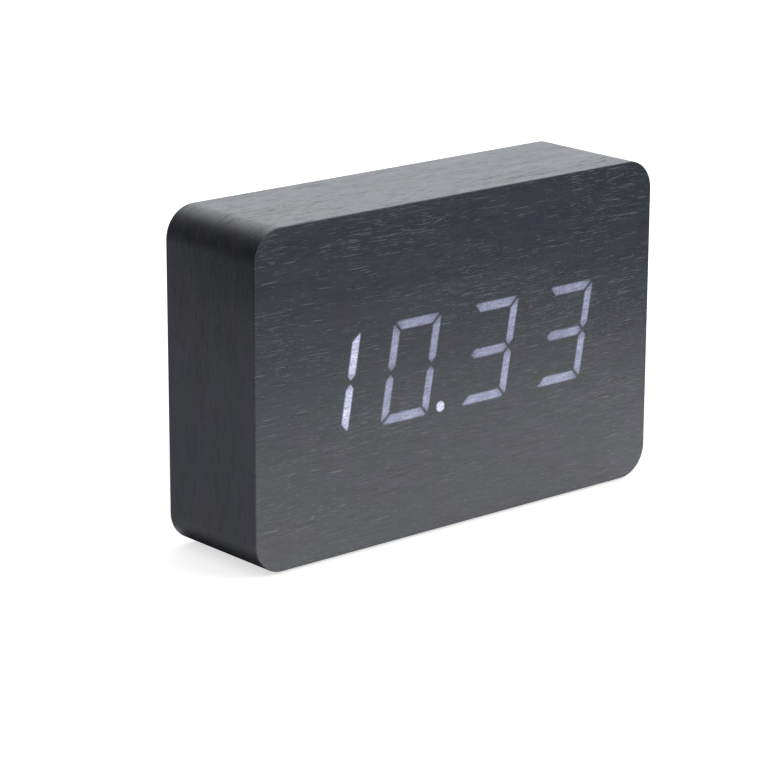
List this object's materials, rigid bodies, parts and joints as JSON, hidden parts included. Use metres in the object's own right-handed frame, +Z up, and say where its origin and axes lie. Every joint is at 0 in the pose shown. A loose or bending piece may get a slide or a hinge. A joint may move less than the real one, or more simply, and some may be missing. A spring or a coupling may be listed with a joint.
{
  "type": "block alarm clock",
  "caption": "Veneered rectangular block clock with rounded corners, seven-segment light digits shining through its front, and push buttons, a power inlet and a battery door at the rear.",
  "frame": {"origin": "on the table, under the middle of the block", "axes": "+X to the right seen from the front, +Y from the front to the rear, +Z up"},
  "size_m": [0.154, 0.04, 0.1008],
  "materials": {
    "fibreboard": "raw fibreboard",
    "black_veneer": "black stained open-grain veneer, satin",
    "glowing_veneer": "thinned veneer lit from behind",
    "foot_rubber": "matte",
    "white_plastic": "matte white",
    "lens_plastic": "milky",
    "light_chip": "smooth",
    "circuit_board": "green solder mask",
    "screw_steel": "plated",
    "chip_plastic": "matte",
    "header_plastic": "moulded",
    "ribbon_plastic": "matte",
    "can_steel": "drawn",
    "capacitor_sleeve": "shrunk sleeve",
    "sensor_ceramic": "dipped",
    "switch_plastic": "matte",
    "button_plastic": "satin",
    "jack_plastic": "moulded",
    "pin_metal": "plated",
    "cover_plastic": "fine spark texture",
    "cell_wrap": "plain printed wrap",
    "spring_steel": "nickel plated",
    "lead_sleeve": "smooth"
  },
  "bodies": {
    "root": {"case_body": "fibreboard", "wrap_veneer": "black_veneer", "front_veneer": "black_veneer", "lit_segments": "glowing_veneer", "rubber_feet": "foot_rubber", "segment_reflector": "white_plastic", "segment_lenses": "lens_plastic", "segment_leds": "light_chip", "display_board": "circuit_board", "display_screws": "screw_steel", "driver_chips": "chip_plastic", "display_header": "header_plastic", "display_ribbon": "ribbon_plastic", "control_board": "circuit_board", "control_board_screws": "screw_steel", "control_header": "header_plastic", "clock_chip": "chip_plastic", "crystal": "can_steel", "capacitors": "capacitor_sleeve", "temperature_sensor": "sensor_ceramic", "microphone": "can_steel", "buzzer": "chip_plastic", "tact_switches": "switch_plastic", "alarm_switch_body": "can_steel", "dc_jack": "jack_plastic", "dc_jack_pin": "pin_metal", "rear_cover": "cover_plastic", "cover_screws": "screw_steel", "battery_cells": "cell_wrap", "battery_springs": "spring_steel", "battery_plates": "spring_steel", "battery_leads": "lead_sleeve"},
    "set_button_body": {"set_button": "button_plastic", "set_plunger": "switch_plastic"},
    "down_button_body": {"down_button": "button_plastic", "down_plunger": "switch_plastic"},
    "up_button_body": {"up_button": "button_plastic", "up_plunger": "switch_plastic"},
    "alarm_knob_body": {"alarm_switch_knob": "button_plastic"},
    "battery_door_body": {"battery_door": "cover_plastic"}
  },
  "joints": [
    {"name": "set_button_press", "type": "slide", "parent": "root", "child": "set_button_body", "axis": [0, -1, 0], "range_m": [0, 0.0004], "stiffness_N_per_m": 2000},
    {"name": "down_button_press", "type": "slide", "parent": "root", "child": "down_button_body", "axis": [0, -1, 0], "range_m": [0, 0.0004], "stiffness_N_per_m": 2000},
    {"name": "up_button_press", "type": "slide", "parent": "root", "child": "up_button_body", "axis": [0, -1, 0], "range_m": [0, 0.0004], "stiffness_N_per_m": 2000},
    {"name": "alarm_switch_slide", "type": "slide", "parent": "root", "child": "alarm_knob_body", "axis": [1, 0, 0], "range_m": [0, 0.002]},
    {"name": "battery_door_hinge", "type": "hinge", "parent": "root", "child": "battery_door_body", "pos_m": [-0.028, 0.019, 0.0272], "axis": [-1, 0, 0], "range_deg": [0, 75]}
  ]
}
